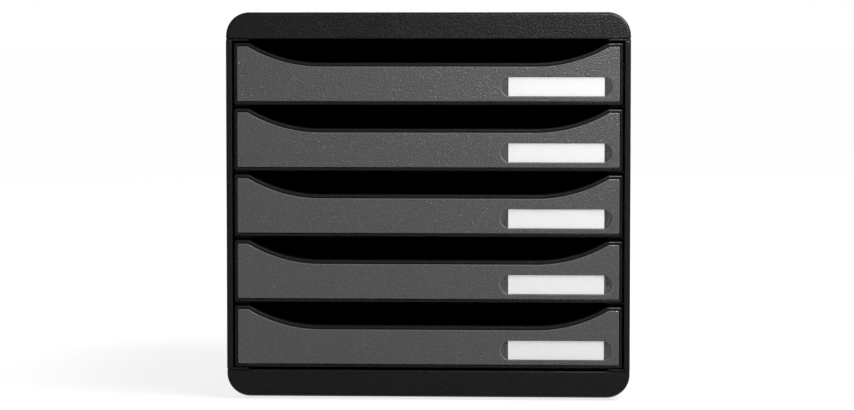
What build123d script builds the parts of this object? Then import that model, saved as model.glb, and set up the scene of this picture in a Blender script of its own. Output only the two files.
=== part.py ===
from build123d import *
from math import sqrt
import os

# Desktop drawer organizer: a black cabinet, open at the front, with five sliding drawers.
# All sizes are in millimetres. +X is to the right seen from the front, +Y to the back, +Z up.
# The origin is on the table, under the middle of the cabinet.

# Overall size
WIDTH = 278.0
DEPTH = 347.0
HEIGHT = 267.0
FOOT_DROP = 2.0

# Top and bottom covers
CORNER_RADIUS = 16.0
COVER_HEIGHT = 18.2
COVER_PLATE = 2.6
COVER_SKIRT = 2.5
FASCIA_WALL = 3.0
EDGE_ROUND = 2.0
OPENING_ROUND = 0.7
SEAM_HEIGHT = 0.6
SEAM_SIDE_DEPTH = 0.25
SEAM_FRONT_DEPTH = 2.2
SEAM_BORDER = 1.5
COVER_RIB_WIDTH = 1.4
COVER_RIB_DEPTH = 5.0
COVER_RIBS_X = (-70.0, 0.0, 70.0)
COVER_RIBS_Y = (-105.0, -35.0, 35.0, 105.0)
STACKING_BORDER = 14.0
STACKING_DEPTH = 0.8
STACKING_CORNER = 10.0

# Side panels
PANEL_WALL = 2.5
PANEL_FRONT_EDGE = 4.0
PANEL_FRONT_DEPTH = 6.5
PANEL_EDGE_ROUND = 0.8
FLANGE_REACH = 15.0
FLANGE_THICKNESS = 1.4
FLANGE_SETBACK = 0.6
FLANGE_EDGE_ROUND = 0.3
RETURN_REACH = 12.5
RETURN_THICKNESS = 2.5
RAIL_FRONT_SETBACK = 7.5
TAB_SPACING = 105.0
TAB_LENGTH = 9.0
TAB_THICKNESS = 1.5
TAB_HEIGHT = 4.0
TAB_HOOK = 0.8
CATCH_REACH = 0.9
CATCH_GAP = 0.2

# Back panel
BACK_THICKNESS = 2.0
BACK_CLEARANCE = 0.2
BACK_OVERLAP = 1.9
BEAD_LENGTH = 190.0
BEAD_HEIGHT = 8.0
BEAD_PROUD = 0.8

# Feet
FOOT_RADIUS = 8.0
FOOT_SOCKET = 1.0
FOOT_X = 112.0
FOOT_Y = 146.0
FOOT_ROUND = 0.5

# Drawers
DRAWERS = 5
DRAWER_PITCH = 45.35
LOWEST_DRAWER = 22.0
DRAWER_GAP_BELOW = 0.4
DRAWER_WIDTH = 267.5
DRAWER_HEIGHT = 42.6
DRAWER_SETBACK = 1.5
DRAWER_LENGTH = 338.0
SCOOP_DEPTH = 13.75
SCOOP_RADIUS = 95.0
SCOOP_FLAT = 148.8
EAR_ROUND = 3.0
FRONT_CORNER = 1.5
FRONT_DEPTH = 10.5
FRONT_SKIN = 1.6
FRONT_INNER_WALL = 1.7
FRONT_LIP = 2.0
FRONT_EDGE_ROUND = 1.1
LIP_BACK_ROUND = 0.5
TRAY_WIDTH = 264.0
TRAY_WALL = 1.8
TRAY_FLOOR = 1.6
TRAY_WALL_HEIGHT = 38.0
TRAY_EDGE_ROUND = 0.6
TRAY_CORNER = 4.0
TRAY_FLOOR_ROUND = 2.0
REAR_SCOOP_WIDTH = 150.0
REAR_SCOOP_DEPTH = 12.0
REAR_SCOOP_ROUND = 5.9

# Drawer stops: a rib on the side panel catches a lug on the tray at the end of its travel
TRAVEL = 255.0
STOP_CLEARANCE = 0.4
STOP_RIB_Y = -152.0
STOP_RIB_LENGTH = 3.0
STOP_RIB_REACH = 3.8
STOP_LUG_LENGTH = 6.0
STOP_LUG_PROUD = 1.5
STOP_BOTTOM = 10.0
STOP_TOP = 28.0

# Front plate, let into the tray's front
RIM_SIDE = 1.75
RIM_EDGE = 2.0
PLATE_GROOVE = 0.5
POCKET_DEPTH = 2.2
PLATE_PROUD = 0.4
PLATE_EAR_ROUND = 1.0
PLATE_CORNER = 0.8
PLATE_EDGE_ROUND = 0.7
CLIPS_X = (-112.0, -40.0, 40.0, 112.0)
CLIP_BOTTOM = 8.0
CLIP_LENGTH = 8.0
CLIP_THICKNESS = 1.6
CLIP_REACH = 3.4
CLIP_HOOK = 0.6
CLIP_HOOK_LENGTH = 1.7
CLIP_CLEARANCE = 0.5
CLIP_PLAY = 0.15

# Label holder
LABEL_X = 88.2
LABEL_Z = 12.55
LABEL_RECESS_DEPTH = 1.2
LABEL_BEVEL_DEPTH = 0.5
LABEL_FACE = (77.8, 14.1)
LABEL_BEVEL_FOOT = (76.5, 13.75)
LABEL_FLOOR = (75.9, 13.6)
CARD_LENGTH = 65.8
CARD_HEIGHT = 13.1
CARD_THICKNESS = 0.25
CARD_PLAY = 0.1
WINDOW_THICKNESS = 0.6
WINDOW_CLEARANCE = 0.15
WINDOW_PAD_GAP = 0.4

# Places worked out from the sizes above
X_OUT = WIDTH / 2
Y_FRONT = -DEPTH / 2
Y_BACK = DEPTH / 2
Z_LOW = FOOT_DROP
Z_MIDDLE = (HEIGHT + FOOT_DROP) / 2
Z_SEAM_TOP = HEIGHT - COVER_HEIGHT
Z_SEAM_LOW = FOOT_DROP + COVER_HEIGHT
X_WALL = X_OUT - PANEL_WALL
Y_RETURN = Y_BACK - RETURN_THICKNESS
Y_BACK_PANEL = Y_RETURN - BACK_THICKNESS
Y_RAIL_END = Y_BACK_PANEL - BACK_CLEARANCE
Y_DRAWER = Y_FRONT + DRAWER_SETBACK
Y_TRAY_BACK = Y_DRAWER + DRAWER_LENGTH
Y_POCKET = Y_DRAWER + POCKET_DEPTH
Y_SKIN_BACK = Y_POCKET + FRONT_SKIN
Y_LIP_BACK = Y_DRAWER + FRONT_DEPTH
Y_INNER_WALL = Y_LIP_BACK - FRONT_INNER_WALL
Y_PLATE = Y_DRAWER - PLATE_PROUD
Y_CARD_BACK = Y_PLATE + LABEL_RECESS_DEPTH
Y_CARD_FRONT = Y_CARD_BACK - CARD_THICKNESS
Y_WINDOW_BACK = Y_CARD_FRONT - CARD_PLAY
Y_WINDOW_FRONT = Y_WINDOW_BACK - WINDOW_THICKNESS
PLATE_SIDE = RIM_SIDE + PLATE_GROOVE
PLATE_EDGE = RIM_EDGE + PLATE_GROOVE

# Cuts reach past a face by the overshoot, fused blocks share the overlap, and a place on
# a shape is found to within the tolerance
OVERSHOOT = 5.0
OVERLAP = 1.0
TOLERANCE = 0.1


def block(x0, x1, y0, y1, z0, z1):
    """A box given by its two corners."""
    centre = Pos((x0 + x1) / 2, (y0 + y1) / 2, (z0 + z1) / 2)
    return centre * Box(abs(x1 - x0), abs(y1 - y0), abs(z1 - z0))


def upright(outline, y0, y1):
    """An outline drawn as seen from the front, made solid from y0 back to y1."""
    plane = Plane(origin=(0, y0, 0), x_dir=(1, 0, 0), z_dir=(0, -1, 0))
    return extrude(plane * outline, amount=-(y1 - y0))


def drawer_bottoms():
    """Heights of the drawers' undersides, from the top drawer down."""
    return [LOWEST_DRAWER + (DRAWERS - n) * DRAWER_PITCH for n in range(1, DRAWERS + 1)]


# Covers

def cover_profile(inset, z_bottom):
    """The cover seen from the front: a low box with two round top corners."""
    z_top = HEIGHT - inset
    width = WIDTH - 2 * inset
    face = Pos(0, (z_top + z_bottom) / 2) * Rectangle(width, z_top - z_bottom)
    corners = face.vertices().sort_by(Axis.Y)[-2:]
    return fillet(corners, CORNER_RADIUS - inset)


def cover_seam():
    """The groove above the side panels: a shallow one along the sides and round both ends
    as far as the side panels' flanges reach, and a deep one in the fascia."""
    z0 = Z_SEAM_TOP - OVERSHOOT
    z1 = Z_SEAM_TOP + SEAM_HEIGHT
    y_over = Y_FRONT - OVERSHOOT
    y_shallow = Y_FRONT + SEAM_SIDE_DEPTH
    cuts = []
    for side in (-1, 1):
        x_in = side * (X_OUT - SEAM_SIDE_DEPTH)
        x_over = side * (X_OUT + OVERSHOOT)
        cuts.append(block(x_in, x_over, y_over, Y_BACK + OVERSHOOT, z0, z1))
        x_flange = side * (X_OUT - FLANGE_REACH)
        cuts.append(block(x_flange, x_over, y_over, y_shallow, z0, z1))
        x_deep = side * (X_OUT - SEAM_BORDER)
        cuts.append(block(x_flange, x_deep, y_over, Y_FRONT + SEAM_FRONT_DEPTH, z0, z1))
        x_return = side * (X_WALL - RETURN_REACH)
        y_back = Y_BACK - SEAM_SIDE_DEPTH
        cuts.append(block(x_return, x_over, y_back, Y_BACK + OVERSHOOT, z0, z1))
    return cuts


def cover_ribs():
    """Thin stiffening ribs under the plate, in both directions."""
    z1 = HEIGHT - COVER_PLATE
    z0 = z1 - COVER_RIB_DEPTH
    half = COVER_RIB_WIDTH / 2
    x_end = X_OUT - COVER_SKIRT - CORNER_RADIUS / 2
    y0 = Y_FRONT + FASCIA_WALL
    y1 = Y_BACK - COVER_SKIRT
    ribs = [block(x - half, x + half, y0, y1, z0, z1) for x in COVER_RIBS_X]
    ribs += [block(-x_end, x_end, y - half, y + half, z0, z1) for y in COVER_RIBS_Y]
    return ribs


def tab_places():
    """Where the clip tabs stand along the cabinet's depth."""
    return (-TAB_SPACING, 0.0, TAB_SPACING)


def cover_catches():
    """Small ledges inside the skirts that the side panels' tabs hook over."""
    z1 = Z_SEAM_TOP + TAB_HEIGHT - TAB_HOOK - CATCH_GAP - TAB_HOOK
    z0 = z1 - 2 * TAB_HOOK
    catches = []
    for side in (-1, 1):
        x_skirt = side * (X_OUT - COVER_SKIRT)
        x_ledge = x_skirt - side * CATCH_REACH
        for y in tab_places():
            catches.append(block(x_ledge, x_skirt, y - TAB_LENGTH / 2, y + TAB_LENGTH / 2, z0, z1))
    return catches


def cover_shell():
    """A shallow moulding with a plate, side skirts, a front fascia and a rear skirt."""
    shell = upright(cover_profile(0, Z_SEAM_TOP), Y_FRONT, Y_BACK)
    rim = shell.edges().filter_by_position(Axis.Y, Y_FRONT, Y_FRONT)
    rim += shell.edges().filter_by_position(Axis.Y, Y_BACK, Y_BACK)
    rim = rim.filter_by(lambda edge: edge.center().Z > Z_SEAM_TOP + SEAM_HEIGHT)
    shell = fillet(rim, EDGE_ROUND)
    opening = shell.edges().filter_by(Axis.X).filter_by_position(Axis.Y, Y_FRONT, Y_FRONT)
    shell = fillet(opening.sort_by(Axis.Z)[0], OPENING_ROUND)
    hollow = cover_profile(COVER_SKIRT, Z_SEAM_TOP - OVERSHOOT)
    shell -= upright(hollow, Y_FRONT + FASCIA_WALL, Y_BACK - COVER_SKIRT)
    shell += cover_ribs()
    shell += cover_catches()
    shell -= cover_seam()
    return shell


def top_cover(shell):
    """The cover with a shallow level recess on top, where another unit's feet can stand."""
    width = WIDTH - 2 * STACKING_BORDER
    depth = DEPTH - 2 * STACKING_BORDER
    recess = Pos(0, 0, HEIGHT) * extrude(
        RectangleRounded(width, depth, STACKING_CORNER), amount=STACKING_DEPTH, both=True
    )
    return shell - recess


def foot_places():
    """Centres of the four feet, by name."""
    places = {}
    for end, y in (("front", -FOOT_Y), ("rear", FOOT_Y)):
        for side, x in (("left", -FOOT_X), ("right", FOOT_X)):
            places[f"foot_{end}_{side}"] = (x, y)
    return places


def bottom_cover(shell):
    """The same cover turned over, with a socket for each foot."""
    cover = mirror(shell, about=Plane.XY.offset(Z_MIDDLE))
    for x, y in foot_places().values():
        cover -= Pos(x, y, Z_LOW) * Cylinder(FOOT_RADIUS, 2 * FOOT_SOCKET)
    return cover


def foot(x, y):
    """A round rubber pad, pressed into its socket."""
    height = FOOT_DROP + FOOT_SOCKET
    pad = Pos(x, y, height / 2) * Cylinder(FOOT_RADIUS, height)
    return fillet(pad.edges().sort_by(Axis.Z)[0], FOOT_ROUND)


# Side panels

def panel_tabs():
    """Clip tabs that stand up from the top flange and down from the bottom one."""
    x0 = X_WALL - CATCH_REACH - CATCH_GAP - TAB_THICKNESS
    x1 = x0 + TAB_THICKNESS
    z_tip = Z_SEAM_TOP + TAB_HEIGHT
    tabs = []
    for y in tab_places():
        y0 = y - TAB_LENGTH / 2
        y1 = y + TAB_LENGTH / 2
        stem = block(x0, x1, y0, y1, Z_SEAM_TOP - OVERLAP, z_tip)
        hook = block(x1, x1 + TAB_HOOK, y0, y1, z_tip - 2 * TAB_HOOK, z_tip)
        for piece in (stem, hook):
            tabs += [piece, mirror(piece, about=Plane.XY.offset(Z_MIDDLE))]
    return tabs


def panel_rails():
    """Rails under the upper drawers and a stop rib for each drawer."""
    x_rail = X_OUT - FLANGE_REACH
    rails = []
    for z in drawer_bottoms():
        z_rail = z - DRAWER_GAP_BELOW
        if z > LOWEST_DRAWER:
            y0 = Y_FRONT + RAIL_FRONT_SETBACK
            z_under = z_rail - FLANGE_THICKNESS
            rails.append(block(x_rail, X_WALL + OVERLAP, y0, Y_RAIL_END, z_under, z_rail))
        y0 = STOP_RIB_Y
        y1 = STOP_RIB_Y + STOP_RIB_LENGTH
        x_rib = X_WALL - STOP_RIB_REACH
        rails.append(block(x_rib, X_WALL + OVERLAP, y0, y1, z + STOP_BOTTOM, z + STOP_TOP))
    return rails


def right_side_panel():
    """A wall with a thick front edge, a flange at its top and bottom, a return flange at
    the back, drawer rails, stop ribs and clip tabs, all in one moulding."""
    z_flange_low = Z_SEAM_LOW + FLANGE_THICKNESS
    z_flange_top = Z_SEAM_TOP - FLANGE_THICKNESS
    y_flange = Y_FRONT + FLANGE_SETBACK
    x_flange = X_OUT - FLANGE_REACH
    panel = block(X_WALL, X_OUT, y_flange, Y_BACK, Z_SEAM_LOW, Z_SEAM_TOP)
    panel += block(x_flange, X_OUT, y_flange, Y_RAIL_END, Z_SEAM_LOW, z_flange_low)
    panel += block(x_flange, X_OUT, y_flange, Y_RAIL_END, z_flange_top, Z_SEAM_TOP)
    panel += block(X_WALL - RETURN_REACH, X_OUT, Y_RETURN, Y_BACK, Z_SEAM_LOW, Z_SEAM_TOP)
    upright_edges = panel.edges().filter_by(Axis.Z)
    rear_corner = upright_edges.filter_by_position(Axis.Y, Y_BACK, Y_BACK).sort_by(Axis.X)[-1]
    panel = fillet(rear_corner, EDGE_ROUND)
    upright_edges = panel.edges().filter_by(Axis.Z)
    front_corner = upright_edges.filter_by_position(Axis.Y, y_flange, y_flange)
    panel = fillet(front_corner.sort_by(Axis.X)[-1], EDGE_ROUND - FLANGE_SETBACK)
    flange_edges = panel.edges().filter_by(Axis.X)
    flange_edges = flange_edges.filter_by(lambda edge: edge.center().Y < y_flange + TOLERANCE)
    flange_edges = flange_edges.sort_by(Axis.Z)
    panel = fillet([flange_edges[0], flange_edges[-1]], FLANGE_EDGE_ROUND)
    x_edge = X_OUT - PANEL_FRONT_EDGE
    y_edge = Y_FRONT + PANEL_FRONT_DEPTH
    front_edge = block(x_edge, X_OUT, Y_FRONT, y_edge, z_flange_low, z_flange_top)
    panel += fillet(front_edge.edges().group_by(Axis.Y)[0], PANEL_EDGE_ROUND)
    panel += panel_rails()
    panel += panel_tabs()
    return panel


# Back panel

def back_panel():
    """A thin sheet with a shallow outward bead behind each drawer."""
    x = X_WALL - BACK_CLEARANCE
    z0 = Z_SEAM_LOW - BACK_OVERLAP
    z1 = Z_SEAM_TOP + BACK_OVERLAP
    panel = block(-x, x, Y_BACK_PANEL, Y_RETURN, z0, z1)
    for z in drawer_bottoms():
        bead = Pos(0, z + DRAWER_HEIGHT / 2) * SlotOverall(BEAD_LENGTH, BEAD_HEIGHT)
        relief = upright(bead, Y_RETURN - OVERLAP, Y_RETURN + BEAD_PROUD)
        relief = fillet(relief.edges().group_by(Axis.Y)[-1], BEAD_PROUD / 2)
        panel += relief
    return panel


# Drawers

def front_outline(side, edge, ear_round, corner, z_bottom):
    """A drawer front seen from the front, drawn in from its full size by side at the two
    ends and by edge along the top. Its top edge has a flat ear at each end, and an arc
    leads down from each ear to a long flat scoop. The drawer's underside is at height 0."""
    x_end = DRAWER_WIDTH / 2 - side
    z_ear = DRAWER_HEIGHT - edge
    z_scoop = DRAWER_HEIGHT - SCOOP_DEPTH - edge
    radius = SCOOP_RADIUS + edge
    x_flat = SCOOP_FLAT / 2
    x_ear = x_flat + sqrt(radius ** 2 - (radius - SCOOP_DEPTH) ** 2)
    rise = SCOOP_DEPTH / 4
    x_on_arc = x_flat + sqrt(radius ** 2 - (radius - rise) ** 2)
    z_on_arc = z_scoop + rise
    boundary = [
        Line((-x_end, z_bottom), (-x_end, z_ear)),
        Line((-x_end, z_ear), (-x_ear, z_ear)),
        ThreePointArc((-x_ear, z_ear), (-x_on_arc, z_on_arc), (-x_flat, z_scoop)),
        Line((-x_flat, z_scoop), (x_flat, z_scoop)),
        ThreePointArc((x_flat, z_scoop), (x_on_arc, z_on_arc), (x_ear, z_ear)),
        Line((x_ear, z_ear), (x_end, z_ear)),
        Line((x_end, z_ear), (x_end, z_bottom)),
        Line((x_end, z_bottom), (-x_end, z_bottom)),
    ]
    face = make_face(boundary)
    ends = face.vertices().filter_by(lambda v: abs(abs(v.X) - x_end) < TOLERANCE)
    face = fillet(ends, corner)
    ears = face.vertices().filter_by(lambda v: abs(abs(v.X) - x_ear) < TOLERANCE)
    return fillet(ears, ear_round)


def tray_front():
    """The tray's front: a skin with a rim and a pocket for the front plate, a lip that
    follows the scoop, and an inner wall, hollow in between and open below."""
    outline = front_outline(0, 0, EAR_ROUND, FRONT_CORNER, 0)
    front = upright(outline, Y_DRAWER, Y_LIP_BACK)
    front = fillet(front.edges().group_by(Axis.Y)[0], FRONT_EDGE_ROUND)
    front = fillet(front.edges().group_by(Axis.Y)[-1], LIP_BACK_ROUND)
    pocket = front_outline(RIM_SIDE, RIM_EDGE, PLATE_EAR_ROUND, PLATE_CORNER, RIM_EDGE)
    front -= upright(pocket, Y_DRAWER - OVERSHOOT, Y_POCKET)
    cavity = front_outline(FRONT_LIP, FRONT_LIP, EAR_ROUND, PLATE_CORNER, -OVERSHOOT)
    front -= upright(cavity, Y_SKIN_BACK, Y_INNER_WALL)
    for x in CLIPS_X:
        half = CLIP_LENGTH / 2 + CLIP_CLEARANCE
        z0 = CLIP_BOTTOM - CLIP_CLEARANCE
        z1 = CLIP_BOTTOM + CLIP_THICKNESS + CLIP_PLAY
        front -= block(x - half, x + half, Y_POCKET - OVERLAP, Y_SKIN_BACK + OVERLAP, z0, z1)
    return front


def tray_box():
    """The tray's floor, side walls and back wall, the back wall dipped in the middle. It is
    open to the front above its floor, where the tray's front has a wall of its own."""
    x_out = TRAY_WIDTH / 2
    body = block(-x_out, x_out, Y_INNER_WALL, Y_TRAY_BACK, 0, TRAY_WALL_HEIGHT)
    uprights = body.edges().filter_by(Axis.Z).group_by(Axis.Y)[-1]
    body = fillet(uprights, TRAY_CORNER)
    x_in = x_out - TRAY_WALL
    z_over = TRAY_WALL_HEIGHT + OVERSHOOT
    inside = block(-x_in, x_in, Y_LIP_BACK, Y_TRAY_BACK - TRAY_WALL, TRAY_FLOOR, z_over)
    inside = fillet(inside.edges().filter_by(Axis.Z), TRAY_CORNER - TRAY_WALL)
    inside = fillet(inside.edges().group_by(Axis.Z)[0], TRAY_FLOOR_ROUND)
    body -= inside
    rim = body.edges().group_by(Axis.Z)[-1]
    rim = rim.filter_by(lambda edge: edge.center().Y > Y_LIP_BACK)
    body = fillet(rim, TRAY_EDGE_ROUND)
    z_dip = TRAY_WALL_HEIGHT - REAR_SCOOP_DEPTH
    dip = Pos(0, (z_dip + z_over) / 2) * Rectangle(REAR_SCOOP_WIDTH, z_over - z_dip)
    dip = fillet(dip.vertices().sort_by(Axis.Y)[:2], REAR_SCOOP_ROUND)
    body -= upright(dip, Y_TRAY_BACK - OVERSHOOT, Y_TRAY_BACK + OVERSHOOT)
    z_floor = TRAY_FLOOR + TRAY_FLOOR_ROUND
    body -= block(-x_in, x_in, Y_INNER_WALL - OVERSHOOT, Y_LIP_BACK, z_floor, z_over)
    return body


def tray_lugs():
    """Lugs on the outside of the side walls that meet the cabinet's stop ribs."""
    y0 = STOP_RIB_Y + STOP_RIB_LENGTH + TRAVEL + STOP_CLEARANCE
    y1 = y0 + STOP_LUG_LENGTH
    x0 = TRAY_WIDTH / 2 - TRAY_WALL / 2
    x1 = TRAY_WIDTH / 2 + STOP_LUG_PROUD
    return [block(side * x0, side * x1, y0, y1, STOP_BOTTOM, STOP_TOP) for side in (-1, 1)]


def tray():
    """One drawer's tray, with its underside at height 0."""
    body = tray_box() + tray_front()
    body += tray_lugs()
    return body


def label_outline(size, y):
    """A round-ended outline of the label holder, seen from the front, at depth y."""
    plane = Plane(origin=(LABEL_X, y, LABEL_Z), x_dir=(1, 0, 0), z_dir=(0, -1, 0))
    return plane * SlotOverall(*size)


def label_recess():
    """The label holder's hollow: a bevel round its mouth, widest at the two ends, and walls
    that narrow a little towards the floor."""
    y_bevel = Y_PLATE + LABEL_BEVEL_DEPTH
    mouth = loft([label_outline(LABEL_FACE, Y_PLATE), label_outline(LABEL_BEVEL_FOOT, y_bevel)])
    well = loft([label_outline(LABEL_BEVEL_FOOT, y_bevel), label_outline(LABEL_FLOOR, Y_CARD_BACK)])
    return [mouth, well]


def front_plate():
    """The grey plate let into the tray's front, with the label recess and four clips."""
    outline = front_outline(PLATE_SIDE, PLATE_EDGE, PLATE_EAR_ROUND, PLATE_CORNER, PLATE_EDGE)
    plate = upright(outline, Y_PLATE, Y_POCKET)
    plate = fillet(plate.edges().group_by(Axis.Y)[0], PLATE_EDGE_ROUND)
    plate -= label_recess()
    for x in CLIPS_X:
        x0 = x - CLIP_LENGTH / 2
        x1 = x + CLIP_LENGTH / 2
        y_tip = Y_POCKET + CLIP_REACH
        z1 = CLIP_BOTTOM + CLIP_THICKNESS
        plate += block(x0, x1, Y_POCKET - OVERLAP, y_tip, CLIP_BOTTOM, z1)
        plate += block(x0, x1, y_tip - CLIP_HOOK_LENGTH, y_tip, z1 - OVERLAP, z1 + CLIP_HOOK)
    return plate


def label_card():
    """A blank card on the floor of the label recess."""
    face = Pos(LABEL_X, LABEL_Z) * Rectangle(CARD_LENGTH, CARD_HEIGHT)
    return upright(face, Y_CARD_FRONT, Y_CARD_BACK)


def label_window():
    """A clear rounded window over the card, with a pad at each end on the recess's floor."""
    size = [length - 2 * WINDOW_CLEARANCE for length in LABEL_FLOOR]
    window = extrude(label_outline(size, Y_CARD_BACK), amount=Y_CARD_BACK - Y_WINDOW_FRONT)
    half = CARD_LENGTH / 2 + WINDOW_PAD_GAP
    y_over = Y_CARD_BACK + OVERLAP
    z0 = LABEL_Z - CARD_HEIGHT
    z1 = LABEL_Z + CARD_HEIGHT
    return window - block(LABEL_X - half, LABEL_X + half, Y_WINDOW_BACK, y_over, z0, z1)


def save(name, shape):
    """Write one sub-part under its node's name."""
    shape.label = name
    export_step(shape, f"parts/{name}.step")


def main():
    os.makedirs("parts", exist_ok=True)
    shell = cover_shell()
    save("top_cover", top_cover(shell))
    save("bottom_cover", bottom_cover(shell))
    right = right_side_panel()
    save("right_side_panel", right)
    save("left_side_panel", mirror(right, about=Plane.YZ))
    save("back_panel", back_panel())
    for name, (x, y) in foot_places().items():
        save(name, foot(x, y))
    drawer = {
        "tray": tray(),
        "front_plate": front_plate(),
        "label_card": label_card(),
        "label_window": label_window(),
    }
    for number, z in enumerate(drawer_bottoms(), start=1):
        for piece, shape in drawer.items():
            save(f"drawer_{number}_{piece}", Pos(0, 0, z) * shape)


main()
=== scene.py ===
from math import radians

import bpy
from mathutils import Euler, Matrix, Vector


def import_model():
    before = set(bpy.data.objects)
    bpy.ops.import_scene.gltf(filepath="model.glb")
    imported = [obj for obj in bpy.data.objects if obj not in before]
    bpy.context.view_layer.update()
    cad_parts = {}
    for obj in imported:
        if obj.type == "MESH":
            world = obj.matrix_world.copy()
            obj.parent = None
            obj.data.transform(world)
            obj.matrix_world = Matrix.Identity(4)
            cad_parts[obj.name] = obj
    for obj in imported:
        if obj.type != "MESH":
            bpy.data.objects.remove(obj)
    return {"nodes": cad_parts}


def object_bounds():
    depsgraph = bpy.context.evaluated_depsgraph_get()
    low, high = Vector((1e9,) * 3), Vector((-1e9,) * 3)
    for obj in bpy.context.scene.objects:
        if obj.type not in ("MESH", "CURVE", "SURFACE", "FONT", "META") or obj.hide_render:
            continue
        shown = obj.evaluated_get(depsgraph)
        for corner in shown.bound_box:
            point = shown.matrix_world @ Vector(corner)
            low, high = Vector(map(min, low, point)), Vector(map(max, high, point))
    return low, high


# The looks of a desktop drawer organizer: a black moulded cabinet with five drawers that have
# grey fronts. Places and sizes are in metres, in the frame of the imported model: +X is to the
# right seen from the front, +Y to the back, +Z up, and the floor is at height 0.

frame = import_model()
cad_low, cad_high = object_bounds()

# Where the object is
FRONT = cad_low.y
MIDDLE = Vector((0.0, 0.0, cad_high.z / 2))
DRAWER_SETBACK = 0.0015

# Camera, at the photograph's viewing angle, with its angles in degrees
CAMERA_DISTANCE = 2.05
CAMERA_X = 0.0973
CAMERA_Z = 0.2598
CAMERA_YAW = 2.732
CAMERA_PITCH = -3.488
CAMERA_LENS = 126.13
SENSOR_WIDTH = 36.0

# Stage
FLOOR_HALF = 30.0
FLOOR_COLOUR = (0.86, 0.86, 0.86, 1.0)
FLOOR_GLOW = 0.80
BACKGROUND = (1.0, 1.0, 1.0, 1.0)
AMBIENT = 0.30
ROOM_HALF = 9.0
ROOM_HEIGHT = 12.0
CARD_HEIGHT = 0.0003
CARD_GAP = 0.001
DARK_CARD = 0.005
DIM_CARD = 0.25

# Edges: how far their wear reaches, how far a normal has to bend there, and what wear does; their
# lighter colour is partly wear and partly a painted highlight
EDGE_RADIUS = 0.0004
EDGE_BEND = (0.99, 0.80)
EDGE_WEAR_AND_HIGHLIGHT = 2.0
EDGE_POLISH = 0.08

# Which normals count as facing the front or back, and which as facing a side
FRONT_FACING = (0.95, 0.99)
SIDE_FACING = (0.25, 0.10)

# Grain and mottling of the plastic
SPOT_SIZE = 0.85
SPOT_CONTRAST = (0.4, 0.6)
PATCH_SIZE = 0.035
PATCH_COLOUR = 0.03
PATCH_ROUGHNESS = 0.03
GRAIN_FADE = 0.0003
# Painted light: how much lighter the colour is behind the front face, as in the label recess, to
# offset the shade there
RECESS_PAINTED_LIGHT = 1.06


# Shader nodes

def add_node(tree, kind, inputs=None, **settings):
    """Add a shader node. Settings are its own properties, and inputs are values or sockets."""
    made = tree.nodes.new(kind)
    for name, value in settings.items():
        setattr(made, name, value)
    for name, value in (inputs or {}).items():
        connect(tree, made.inputs[name], value)
    return made


def connect(tree, socket, value):
    """Link a socket, or set its own value."""
    if isinstance(value, bpy.types.NodeSocket):
        tree.links.new(value, socket)
    else:
        socket.default_value = value


def blank_material(name):
    """A material with an empty node tree and an output."""
    material = bpy.data.materials.new(name)
    material.use_nodes = True
    tree = material.node_tree
    tree.nodes.clear()
    output = tree.nodes.new("ShaderNodeOutputMaterial")
    return material, tree, output


def cover_with(tree, output, kind, inputs):
    """Give a material its surface shader."""
    shader = add_node(tree, kind, inputs)
    connect(tree, output.inputs["Surface"], shader.outputs["BSDF"])


def place_on_node(tree):
    """The place on a node, which stays with it when the node moves."""
    return add_node(tree, "ShaderNodeTexCoord").outputs["Object"]


def noise(tree, place, size, detail):
    """A noise pattern whose features are about one size across."""
    inputs = {"Vector": place, "Scale": 1.0 / size, "Detail": detail}
    return add_node(tree, "ShaderNodeTexNoise", inputs).outputs["Fac"]


def ramp(tree, value, start, end, low=0.0, high=1.0):
    """A value that goes from low to high while the given one goes from start to end."""
    inputs = {"Value": value, "From Min": start, "From Max": end, "To Min": low, "To Max": high}
    return add_node(tree, "ShaderNodeMapRange", inputs).outputs["Result"]


def arithmetic(tree, operation, *values):
    """One sum of one or two values."""
    made = add_node(tree, "ShaderNodeMath", operation=operation)
    for socket, value in zip(made.inputs, values):
        connect(tree, socket, value)
    return made.outputs["Value"]


def shade(tree, dark, light, factor):
    """A colour between two colours."""
    mix = add_node(tree, "ShaderNodeMix", {"Factor": factor}, data_type="RGBA")
    connect(tree, mix.inputs["A"], dark)
    connect(tree, mix.inputs["B"], light)
    return mix.outputs["Result"]


def bump(tree, height, distance, strength, **more):
    """A normal bent by a height pattern."""
    inputs = {"Strength": strength, "Distance": distance, "Height": height, **more}
    return add_node(tree, "ShaderNodeBump", inputs).outputs["Normal"]


def grey(level):
    """A neutral colour."""
    return (level, level, level, 1.0)


def edge_mask(tree):
    """A rounded normal at sharp edges, and a mask that is 1 on them and 0 on flat faces."""
    rounded = add_node(tree, "ShaderNodeBevel", {"Radius": EDGE_RADIUS}, samples=6).outputs["Normal"]
    flat = add_node(tree, "ShaderNodeNewGeometry").outputs["Normal"]
    dot = add_node(tree, "ShaderNodeVectorMath", operation="DOT_PRODUCT")
    connect(tree, dot.inputs[0], rounded)
    connect(tree, dot.inputs[1], flat)
    return rounded, ramp(tree, dot.outputs["Value"], *EDGE_BEND)


def flat_parts(tree):
    """1 on faces that look straight to the front or back or straight sideways, and 0 on the
    roundings between them, where a mould has no grain."""
    normal = add_node(tree, "ShaderNodeNewGeometry").outputs["Normal"]
    y = add_node(tree, "ShaderNodeSeparateXYZ", {"Vector": normal}).outputs["Y"]
    turned = arithmetic(tree, "ABSOLUTE", y)
    front = ramp(tree, turned, *FRONT_FACING)
    side = ramp(tree, turned, *SIDE_FACING)
    return arithmetic(tree, "MAXIMUM", front, side)


def in_front_of(tree, place, depth):
    """1 for places nearer to the front than a depth, 0 for places a fade behind it."""
    y = add_node(tree, "ShaderNodeSeparateXYZ", {"Vector": place}).outputs["Y"]
    return ramp(tree, y, depth + GRAIN_FADE, depth)


# Materials

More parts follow.
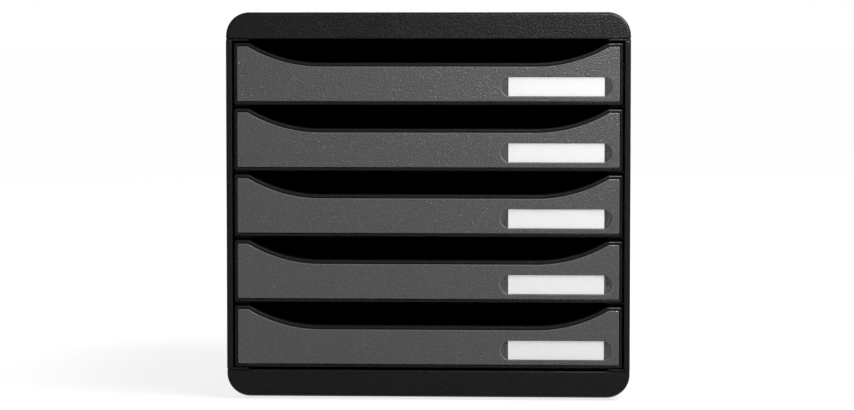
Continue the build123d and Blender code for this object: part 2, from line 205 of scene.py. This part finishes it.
def moulded_plastic(name, level, roughness, grain_size, grain_depth, sparkle, wear_and_highlight, index,
                    grain_end=None):
    """Moulded plastic with a sprayed grain of rougher and smoother spots, faint mottling and edges
    rubbed smoother. Edges and roundings are lighter in colour, partly as wear and partly as a
    painted highlight. The grain ends at roundings and, where grain_end is given, behind it; there
    the colour is painted lighter to offset the shade that falls in the recess."""
    material, tree, output = blank_material(name)
    place = place_on_node(tree)
    grain = noise(tree, place, grain_size, detail=1.5)
    spots = noise(tree, place, grain_size * SPOT_SIZE, detail=0.0)
    patches = noise(tree, place, PATCH_SIZE, detail=3.0)
    normal, sharp = edge_mask(tree)
    flat = flat_parts(tree)
    edge = arithmetic(tree, "MAXIMUM", sharp, arithmetic(tree, "SUBTRACT", 1.0, flat))
    dark = grey(level * (1 - PATCH_COLOUR))
    light = grey(level * (1 + PATCH_COLOUR))
    colour = shade(tree, dark, light, patches)
    # Edges and roundings are lighter in colour: partly rubbed wear, partly a painted highlight
    lit_and_worn_edges = arithmetic(tree, "MULTIPLY", edge, wear_and_highlight)
    colour = shade(tree, colour, grey(level * EDGE_WEAR_AND_HIGHLIGHT), lit_and_worn_edges)
    grained = flat
    if grain_end is not None:
        ahead = in_front_of(tree, place, grain_end)
        grained = arithmetic(tree, "MULTIPLY", flat, ahead)
        # Painted light: behind the front face the colour is lighter, to offset the shade in the
        # recess
        colour = shade(tree, grey(level * RECESS_PAINTED_LIGHT), colour, ahead)
    low = roughness - PATCH_ROUGHNESS
    high = roughness + PATCH_ROUGHNESS
    rough = ramp(tree, patches, 0.0, 1.0, low, high)
    rough = arithmetic(tree, "ADD", rough, arithmetic(tree, "MULTIPLY", edge, -EDGE_POLISH))
    spotted = ramp(tree, spots, *SPOT_CONTRAST, -sparkle, sparkle)
    rough = arithmetic(tree, "ADD", rough, arithmetic(tree, "MULTIPLY", spotted, grained))
    depth = arithmetic(tree, "MULTIPLY", grained, grain_depth)
    cover_with(tree, output, "ShaderNodeBsdfPrincipled", {
        "Base Color": colour, "Roughness": rough, "IOR": index,
        "Normal": bump(tree, grain, depth, strength=1.0, Normal=normal),
    })
    return material


def card_paper():
    """White card with a faint fibre texture."""
    material, tree, output = blank_material("label_card")
    place = place_on_node(tree)
    fibres = noise(tree, place, 0.0004, detail=3.0)
    clouds = noise(tree, place, 0.006, detail=2.0)
    cover_with(tree, output, "ShaderNodeBsdfPrincipled", {
        "Base Color": shade(tree, grey(0.86), grey(0.90), clouds), "Roughness": 0.75,
        "Normal": bump(tree, fibres, 0.00003, strength=0.4),
    })
    return material


def clear_window():
    """Thin clear plastic, nearly invisible but for its gloss."""
    material, tree, output = blank_material("label_window")
    waves = noise(tree, place_on_node(tree), 0.012, detail=1.0)
    cover_with(tree, output, "ShaderNodeBsdfPrincipled", {
        "Base Color": grey(0.2), "Roughness": ramp(tree, waves, 0.0, 1.0, 0.10, 0.16), "Alpha": 0.04,
        "Normal": bump(tree, waves, 0.00005, strength=0.2),
    })
    return material


def foot_rubber():
    """Dull black rubber."""
    material, tree, output = blank_material("foot")
    grain = noise(tree, place_on_node(tree), 0.0006, detail=3.0)
    cover_with(tree, output, "ShaderNodeBsdfPrincipled", {
        "Base Color": shade(tree, grey(0.016), grey(0.028), grain), "Roughness": 0.85,
        "Normal": bump(tree, grain, 0.00005, strength=0.6),
    })
    return material


def dress(node, material):
    """Give a node of the frame one material."""
    slots = frame["nodes"][node].data.materials
    slots.clear()
    slots.append(material)


def dress_all():
    """Each node's material, by the end of its name. The feet are rubber."""
    plastic = {
        "cover": moulded_plastic(
            "cover", level=0.0124, roughness=0.33, grain_size=0.0009, grain_depth=0.00045,
            sparkle=0.08, wear_and_highlight=0.1, index=1.46),
        "panel": moulded_plastic(
            "panel", level=0.0140, roughness=0.26, grain_size=0.0009, grain_depth=0.00014,
            sparkle=0.05, wear_and_highlight=0.1, index=1.50),
        "tray": moulded_plastic(
            "tray", level=0.0144, roughness=0.25, grain_size=0.0011, grain_depth=0.00004,
            sparkle=0.03, wear_and_highlight=0.0, index=1.48),
        "front_plate": moulded_plastic(
            "front_plate", level=0.090, roughness=0.22, grain_size=0.0009, grain_depth=0.00050,
            sparkle=0.09, wear_and_highlight=0.35, index=1.69, grain_end=FRONT + DRAWER_SETBACK),
    }
    endings = {**plastic, "label_card": card_paper(), "label_window": clear_window()}
    rubber = foot_rubber()
    for node in frame["nodes"]:
        material = rubber
        for ending, finish in endings.items():
            if node.endswith(ending):
                material = finish
        dress(node, material)


# Stage

def background_rays(tree):
    """1 for a ray that comes straight or through clear plastic from the camera."""
    rays = add_node(tree, "ShaderNodeLightPath").outputs
    return arithmetic(tree, "MAXIMUM", rays["Is Camera Ray"], rays["Is Transmission Ray"])


def sheets(name, faces, material):
    """Flat four-cornered sheets that belong to the stage, in one object."""
    corners = [corner for face in faces for corner in face]
    order = [tuple(range(start, start + 4)) for start in range(0, len(corners), 4)]
    mesh = bpy.data.meshes.new(name)
    mesh.from_pydata(corners, [], order)
    mesh.materials.append(material)
    made = bpy.data.objects.new(name, mesh)
    bpy.context.scene.collection.objects.link(made)
    return made


def level_sheet(x0, x1, y0, y1, z):
    """The corners of a level rectangle."""
    return [(x0, y0, z), (x1, y0, z), (x1, y1, z), (x0, y1, z)]


def floor():
    """A pale floor that shows white and keeps the object's shadow."""
    material, tree, output = blank_material("floor")
    seen = background_rays(tree)
    colour = shade(tree, FLOOR_COLOUR, BACKGROUND, seen)
    surface = add_node(tree, "ShaderNodeBsdfDiffuse", {"Color": colour})
    glow = add_node(tree, "ShaderNodeEmission", {"Color": BACKGROUND, "Strength": 1.0})
    share = arithmetic(tree, "MULTIPLY", seen, FLOOR_GLOW)
    mix = add_node(tree, "ShaderNodeMixShader", {"Fac": share})
    connect(tree, mix.inputs[1], surface.outputs["BSDF"])
    connect(tree, mix.inputs[2], glow.outputs["Emission"])
    connect(tree, output.inputs["Surface"], mix.outputs["Shader"])
    half = FLOOR_HALF
    sheets("floor", [level_sheet(-half, half, -half, half, 0.0)], material)


def matt_card(name, level):
    """The material of a matt card."""
    material, tree, output = blank_material(name)
    cover_with(tree, output, "ShaderNodeBsdfDiffuse", {"Color": grey(level)})
    return material


def dark_room():
    """Dark cards round the object that only its gloss sees, as a photographer hangs them round
    something black and shiny."""
    dark = matt_card("dark_card", DARK_CARD)
    dim = matt_card("dim_card", DIM_CARD)
    half = ROOM_HALF
    top = ROOM_HEIGHT
    walls = [
        [(-half, -half, 0), (half, -half, 0), (half, -half, top), (-half, -half, top)],
        [(-half, -half, 0), (-half, half, 0), (-half, half, top), (-half, -half, top)],
        [(half, -half, 0), (half, half, 0), (half, half, top), (half, -half, top)],
        level_sheet(-half, half, -half, half, top),
    ]
    front = FRONT - CARD_GAP
    back = cad_high.y + CARD_GAP
    side = cad_high.x + CARD_GAP
    before = [level_sheet(-half, half, -half, front, CARD_HEIGHT)]
    beside = [
        level_sheet(-half, half, back, half, CARD_HEIGHT),
        level_sheet(-half, -side, front, back, CARD_HEIGHT),
        level_sheet(side, half, front, back, CARD_HEIGHT),
    ]
    hung = (("dark_walls", walls, dark), ("dark_floor", before, dark), ("dim_floor", beside, dim))
    for name, faces, material in hung:
        cards = sheets(name, faces, material)
        cards.visible_camera = False
        cards.visible_diffuse = False
        cards.visible_transmission = False
        cards.visible_shadow = False


def world():
    """Soft grey light from all round, and a white background."""
    made = bpy.data.worlds.new("studio")
    bpy.context.scene.world = made
    made.use_nodes = True
    tree = made.node_tree
    tree.nodes.clear()
    ambient = add_node(tree, "ShaderNodeBackground", {"Color": grey(1.0), "Strength": AMBIENT})
    white = add_node(tree, "ShaderNodeBackground", {"Color": BACKGROUND, "Strength": 1.0})
    mix = add_node(tree, "ShaderNodeMixShader", {"Fac": background_rays(tree)})
    connect(tree, mix.inputs[1], ambient.outputs["Background"])
    connect(tree, mix.inputs[2], white.outputs["Background"])
    output = add_node(tree, "ShaderNodeOutputWorld")
    connect(tree, output.inputs["Surface"], mix.outputs["Shader"])


def hang_lamp(data, place, target):
    """Put a lamp at a place and turn it so that it points at the target."""
    lamp = bpy.data.objects.new(data.name, data)
    lamp.location = place
    direction = Vector(target) - lamp.location
    lamp.rotation_euler = direction.to_track_quat("-Z", "Y").to_euler()
    bpy.context.scene.collection.objects.link(lamp)
    return lamp


def softbox(name, place, target, width, height, power):
    """A rectangular lamp."""
    data = bpy.data.lights.new(name, "AREA")
    data.shape = "RECTANGLE"
    data.size = width
    data.size_y = height
    data.energy = power
    lamp = hang_lamp(data, place, target)
    lamp.visible_camera = False


def sky_lamp(name, place, strength, angle):
    """A very large distant lamp, so that the floor is evenly lit."""
    data = bpy.data.lights.new(name, "SUN")
    data.energy = strength
    data.angle = radians(angle)
    hang_lamp(data, place, MIDDLE)


def lights():
    """A key softbox close by at the upper right with a small lamp before it for sparkle, broad
    light from above on the right, and softboxes behind the object for its sides and back."""
    softbox("key", place=(0.28, FRONT - 0.18, 0.43), target=(0.10, FRONT, 0.22),
            width=0.32, height=0.28, power=0.70)
    softbox("sparkle", place=(0.14, FRONT - 0.40, 0.46), target=(0.08, FRONT, 0.22),
            width=0.07, height=0.07, power=0.50)
    sky_lamp("top", place=(1.7, -0.6, 2.6), strength=2.5, angle=36.0)
    for name, side in (("rim_left", -1), ("rim_right", 1)):
        softbox(name, place=(side * 1.3, 1.1, 0.8), target=(0.0, 0.1, 0.15),
                width=1.0, height=1.0, power=6.4)
    softbox("rear", place=(-0.5, 1.9, 1.3), target=(0.0, 0.17, 0.13),
            width=1.2, height=1.2, power=19.0)


def camera():
    """The photograph's camera."""
    data = bpy.data.cameras.new("camera")
    data.sensor_fit = "HORIZONTAL"
    data.sensor_width = SENSOR_WIDTH
    data.lens = CAMERA_LENS
    made = bpy.data.objects.new("camera", data)
    made.location = (CAMERA_X, FRONT - CAMERA_DISTANCE, CAMERA_Z)
    made.rotation_euler = Euler((radians(90.0 + CAMERA_PITCH), 0.0, radians(CAMERA_YAW)))
    bpy.context.scene.collection.objects.link(made)
    bpy.context.scene.camera = made


camera()
world()
floor()
dark_room()
lights()
dress_all()
bpy.context.scene.view_settings.view_transform = "Standard"
